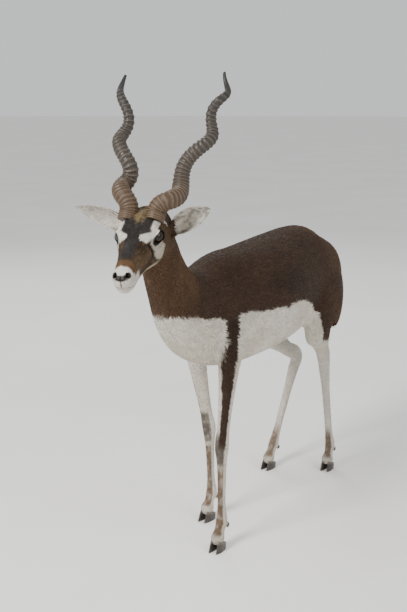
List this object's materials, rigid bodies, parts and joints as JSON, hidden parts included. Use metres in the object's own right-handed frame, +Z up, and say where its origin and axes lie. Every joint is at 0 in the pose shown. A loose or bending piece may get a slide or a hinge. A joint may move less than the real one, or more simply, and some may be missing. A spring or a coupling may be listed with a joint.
{
  "type": "blackbuck antelope",
  "caption": "Life-size standing male blackbuck with ringed corkscrew horns, head turned a little to its left, legs in an easy stance.",
  "frame": {"origin": "centre of the bounding box at the level of the soles", "axes": "+Z up, -Y the way the animal faces, +X its left"},
  "size_m": [0.3378, 1.3278, 1.243],
  "materials": {
    "hide": "short flat fur, dark brown above and white below",
    "ear": "short pale fur",
    "horn": "ringed horn",
    "hoof": "dark smooth horn",
    "eye": "wet and dark"
  },
  "bodies": {
    "root": {"torso": "hide", "neck": "hide", "head": "hide", "tail": "hide", "fore_leg_left": "hide", "fore_leg_right": "hide", "hind_leg_left": "hide", "hind_leg_right": "hide", "ear_left": "ear", "ear_right": "ear", "eye_left": "eye", "eye_right": "eye", "horn_left": "horn", "horn_right": "horn", "hoof_fore_left_outer": "hoof", "hoof_fore_left_inner": "hoof", "hoof_fore_right_outer": "hoof", "hoof_fore_right_inner": "hoof", "hoof_hind_left_outer": "hoof", "hoof_hind_left_inner": "hoof", "hoof_hind_right_outer": "hoof", "hoof_hind_right_inner": "hoof"}
  },
  "joints": []
}
